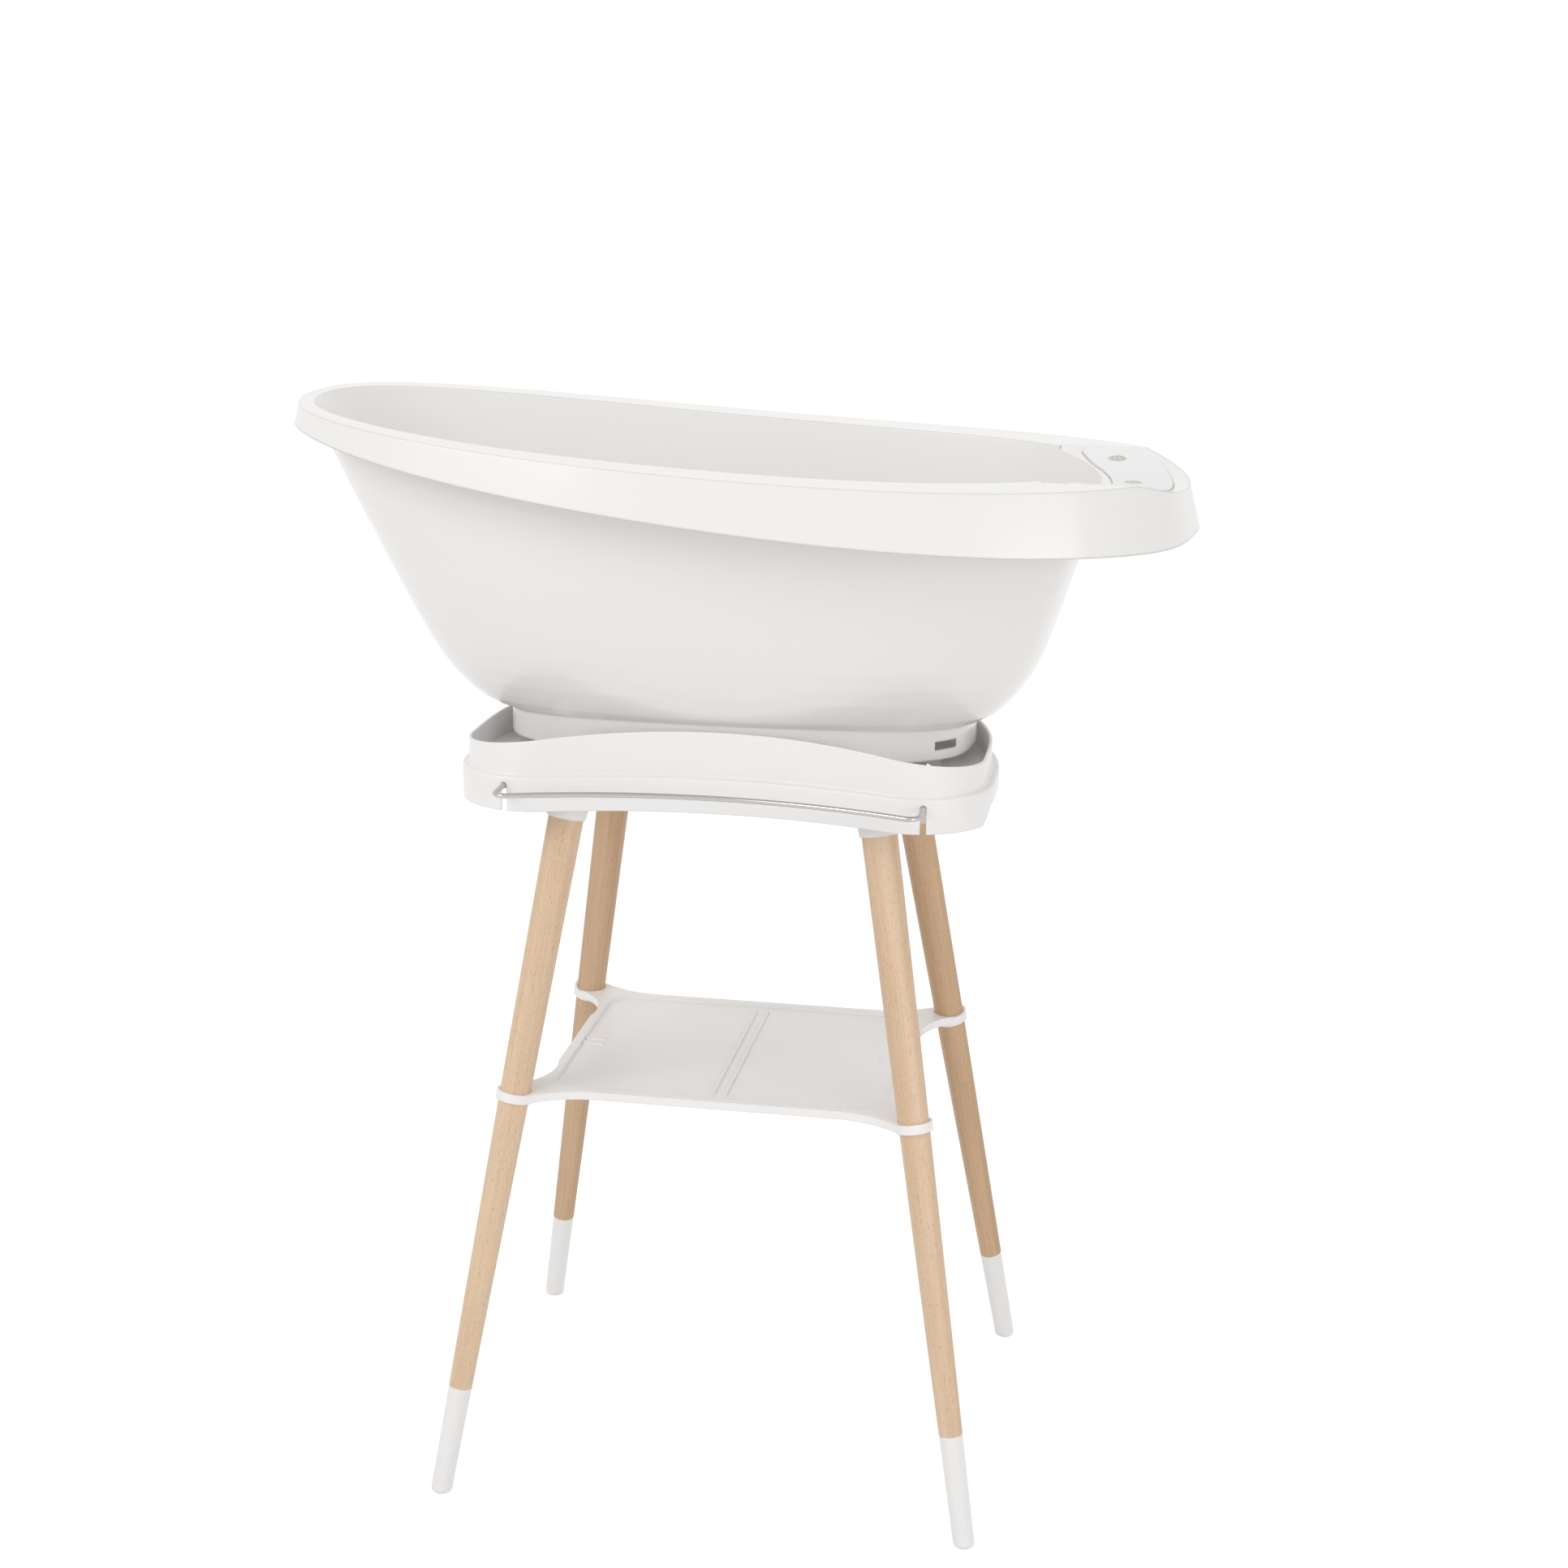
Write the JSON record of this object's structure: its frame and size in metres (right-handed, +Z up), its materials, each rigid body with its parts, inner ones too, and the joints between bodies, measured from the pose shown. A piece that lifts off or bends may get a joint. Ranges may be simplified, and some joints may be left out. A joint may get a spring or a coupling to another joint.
{
  "type": "baby bathtub with stand",
  "caption": "Oval baby bathtub with a flared rim, set in a tray on four splayed wooden legs, with a shelf, a towel rail, a button panel in the rim and a sensor plug in the floor.",
  "frame": {"origin": "on the floor, under the middle of the stand and of the tub", "axes": "+X towards the tub's foot end with the panel, +Y towards the back, +Z up"},
  "size_m": [0.8313, 0.4646, 1.0235],
  "materials": {
    "wood": "oiled beech",
    "white_gloss": "glossy",
    "tub_gloss": "glossy",
    "white_satin": "satin",
    "grey_plastic": "matte",
    "grey_white": "satin",
    "button": "matte",
    "rubber": "soft",
    "board": "satin",
    "cell": "satin",
    "light": "translucent",
    "chrome": "polished",
    "steel": "zinc plated",
    "brass": "turned",
    "gold": "gold plated"
  },
  "bodies": {
    "stand": {"leg_front_left": "wood", "leg_front_right": "wood", "leg_back_left": "wood", "leg_back_right": "wood", "foot_cap_front_left": "white_gloss", "foot_cap_front_right": "white_gloss", "foot_cap_back_left": "white_gloss", "foot_cap_back_right": "white_gloss", "hanger_bolts": "steel", "threaded_inserts": "brass", "tray": "white_gloss", "towel_rail": "chrome", "shelf": "white_satin"},
    "tub": {"tub": "tub_gloss", "drain_seat": "grey_plastic"},
    "panel": {"panel_cover": "white_satin", "panel_housing": "grey_plastic", "panel_seal": "rubber", "panel_board": "board", "battery_cells": "cell", "battery_door": "grey_plastic", "panel_screws": "steel", "indicator_lights": "light"},
    "power_button": {"power_button": "button"},
    "start_button": {"start_button": "button"},
    "reset_button": {"reset_button": "button"},
    "plug": {"plug_body": "grey_white", "plug_face": "white_satin", "plug_contacts": "gold", "plug_seal": "rubber", "plug_board": "board", "plug_cell": "cell"}
  },
  "joints": [
    {"name": "tub_lift", "type": "slide", "parent": "stand", "child": "tub", "axis": [0, 0, 1], "range_m": [0, 0.3]},
    {"name": "panel_lift", "type": "slide", "parent": "tub", "child": "panel", "axis": [0, 0, 1], "range_m": [0, 0.06]},
    {"name": "plug_lift", "type": "slide", "parent": "tub", "child": "plug", "axis": [0, 0, 1], "range_m": [0, 0.05]},
    {"name": "power_press", "type": "slide", "parent": "panel", "child": "power_button", "axis": [0, 0.2056, -0.9786], "range_m": [0, 0.0008], "stiffness_N_per_m": 600, "springref_m": -0.0005},
    {"name": "start_press", "type": "slide", "parent": "panel", "child": "start_button", "axis": [0, 0, -1], "range_m": [0, 0.0008], "stiffness_N_per_m": 600, "springref_m": -0.0005},
    {"name": "reset_press", "type": "slide", "parent": "panel", "child": "reset_button", "axis": [0, -0.2056, -0.9786], "range_m": [0, 0.0008], "stiffness_N_per_m": 600, "springref_m": -0.0005}
  ]
}
